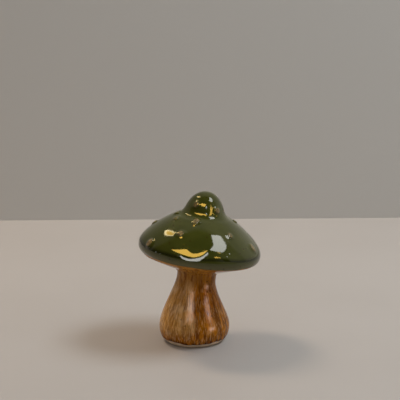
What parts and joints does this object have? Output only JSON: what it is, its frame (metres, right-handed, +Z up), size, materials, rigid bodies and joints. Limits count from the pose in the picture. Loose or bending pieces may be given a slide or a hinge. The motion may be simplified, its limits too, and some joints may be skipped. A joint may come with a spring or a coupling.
{
  "type": "ceramic mushroom ornament",
  "caption": "Hollow glazed mushroom: a leaning knobbed cap with raised dabs, luted to a pear-shaped stem that stands on an unglazed foot.",
  "frame": {"origin": "middle of the foot, on the table", "axes": "+Z up, +X the way the cap leans, -Y the front that the picture shows"},
  "size_m": [0.0834, 0.084, 0.1042],
  "materials": {
    "green_glaze": "deep olive green gloss glaze, thick and pooled",
    "dab_glaze": "the same glaze broken to gold and brown where it is thin",
    "amber_glaze": "amber gloss glaze under the cap",
    "brown_glaze": "streaked brown glaze that runs down the stem",
    "bare_clay": "unglazed cream clay, wiped clean at the foot",
    "fired_slip": "fired slip between luted pieces"
  },
  "bodies": {
    "root": {"cap_dome": "green_glaze", "cap_underside": "amber_glaze", "rim_slip_joint": "fired_slip", "stem": "brown_glaze", "neck_slip_joint": "fired_slip", "base_disc": "bare_clay", "foot_slip_joint": "fired_slip", "dab_01": "dab_glaze", "dab_02": "dab_glaze", "dab_03": "dab_glaze", "dab_04": "dab_glaze", "dab_05": "dab_glaze", "dab_06": "dab_glaze", "dab_07": "dab_glaze", "dab_08": "dab_glaze", "dab_09": "dab_glaze", "dab_10": "dab_glaze", "dab_11": "dab_glaze", "dab_12": "dab_glaze", "dab_13": "dab_glaze", "dab_14": "dab_glaze", "dab_15": "dab_glaze", "dab_16": "dab_glaze", "dab_17": "dab_glaze", "dab_18": "dab_glaze", "dab_19": "dab_glaze", "dab_20": "dab_glaze", "dab_21": "dab_glaze"}
  },
  "joints": []
}
